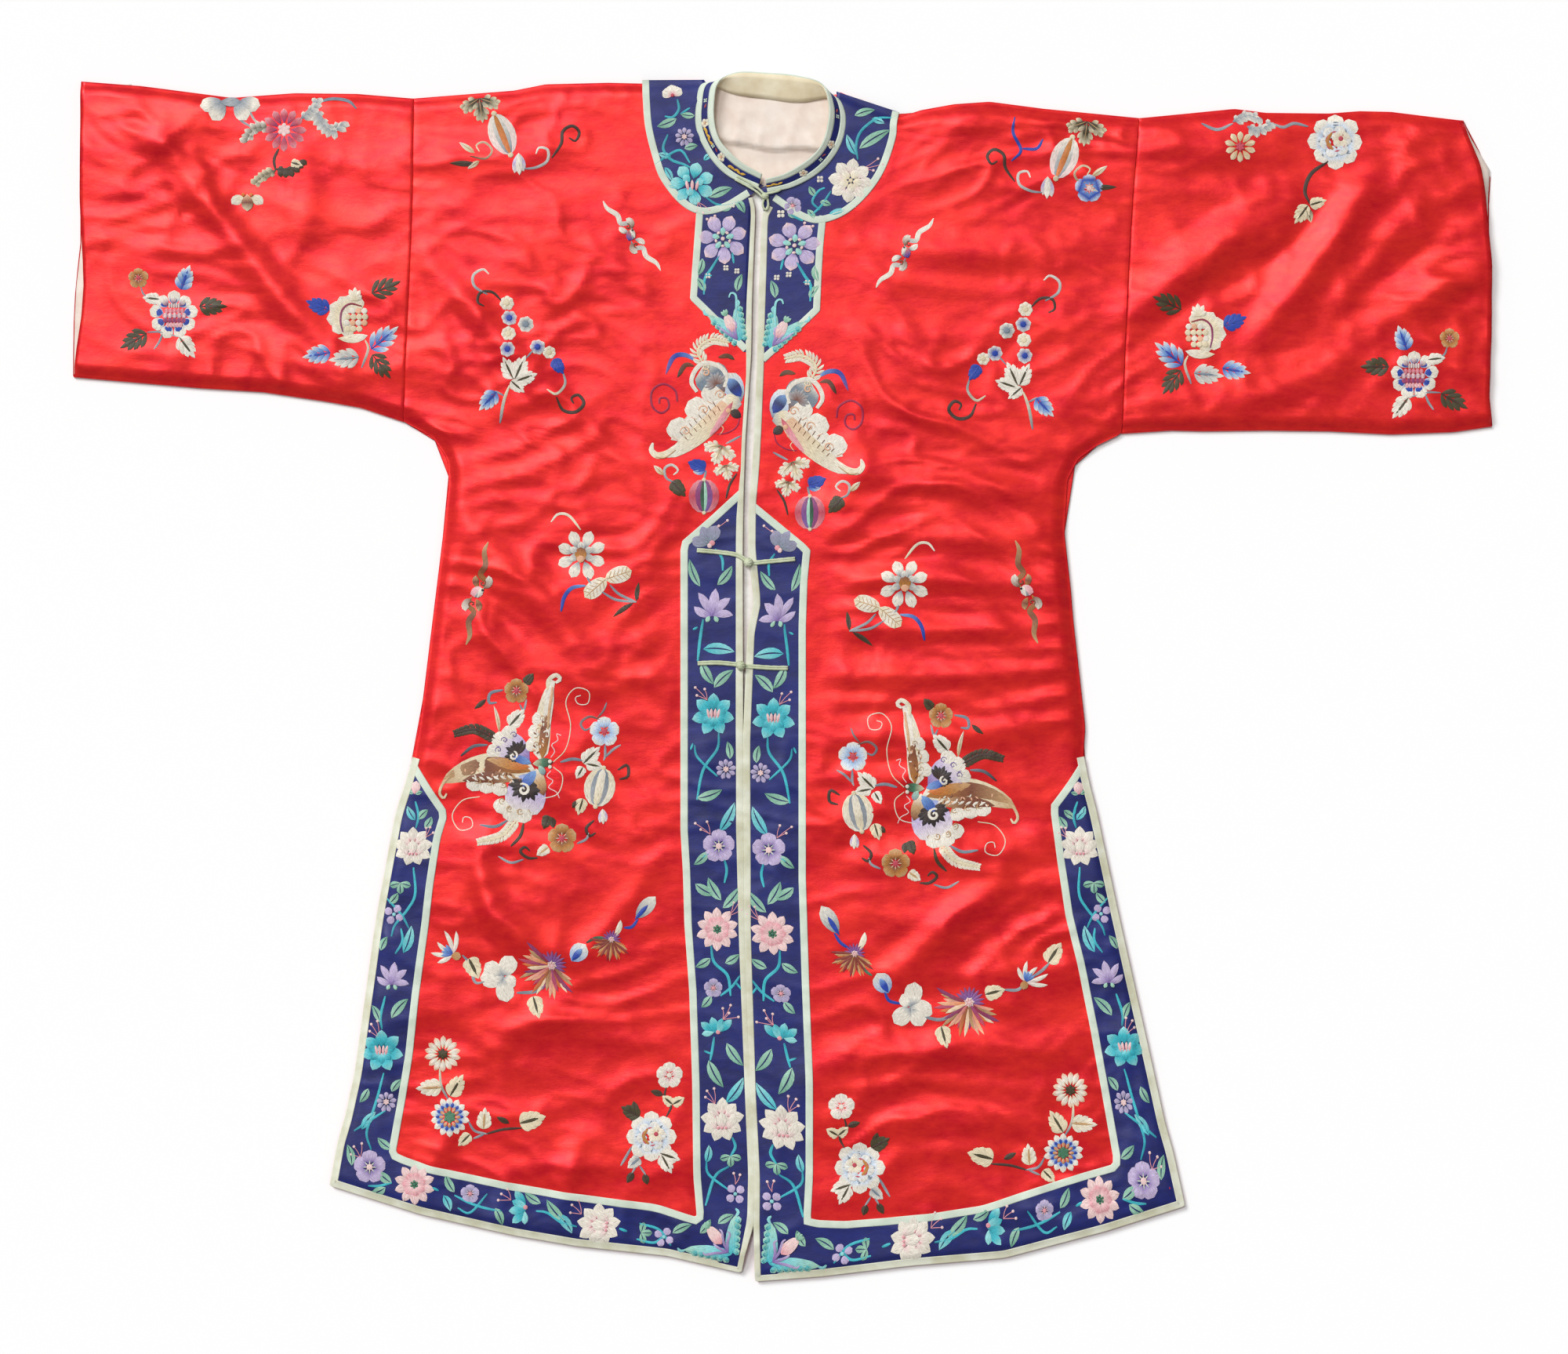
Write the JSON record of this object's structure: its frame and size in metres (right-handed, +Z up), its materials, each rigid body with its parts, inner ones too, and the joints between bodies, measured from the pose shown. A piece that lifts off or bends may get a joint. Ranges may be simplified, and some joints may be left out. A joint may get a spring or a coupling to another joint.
{
  "type": "embroidered silk robe",
  "caption": "Front-opening red satin robe with short stand collar, straight sleeves and side slits, laid flat, with dark embroidered borders and knot buttons.",
  "frame": {"origin": "middle of the underside that the robe lies on, halfway along its span and its length", "axes": "+X along the sleeves to the right as seen from above, +Y from the hem to the collar, +Z up out of the front"},
  "size_m": [1.3052, 1.1098, 0.0165],
  "materials": {
    "red_satin": "glossy satin weave, crimson to scarlet by the light",
    "blue_satin": "matt navy satin under embroidery",
    "pale_ribbon": "pale green woven ribbon",
    "cream_lining": "thin plain-weave silk",
    "white_satin": "white satin",
    "beige_lining": "plain beige silk",
    "cord": "bound cord"
  },
  "bodies": {
    "root": {"collar": "beige_lining", "collar_band": "blue_satin", "collar_seam_ribbon": "pale_ribbon", "collar_top_ribbon": "pale_ribbon", "front_underlap": "white_satin", "left_body": "red_satin", "left_border_band": "blue_satin", "left_border_ribbon": "pale_ribbon", "left_chest_band": "blue_satin", "left_chest_ribbon": "pale_ribbon", "left_cuff_lining": "cream_lining", "left_edge_binding": "pale_ribbon", "left_sleeve": "red_satin", "left_yoke": "blue_satin", "left_yoke_ribbon": "pale_ribbon", "lower_frog_knot": "cord", "lower_frog_loop": "cord", "lower_frog_stem": "cord", "neck_frog_knot": "blue_satin", "neck_lining": "cream_lining", "right_body": "red_satin", "right_border_band": "blue_satin", "right_border_ribbon": "pale_ribbon", "right_chest_band": "blue_satin", "right_chest_ribbon": "pale_ribbon", "right_cuff_lining": "cream_lining", "right_edge_binding": "pale_ribbon", "right_sleeve": "red_satin", "right_yoke": "blue_satin", "right_yoke_ribbon": "pale_ribbon", "upper_frog_knot": "cord", "upper_frog_loop": "cord", "upper_frog_stem": "cord"}
  },
  "joints": []
}
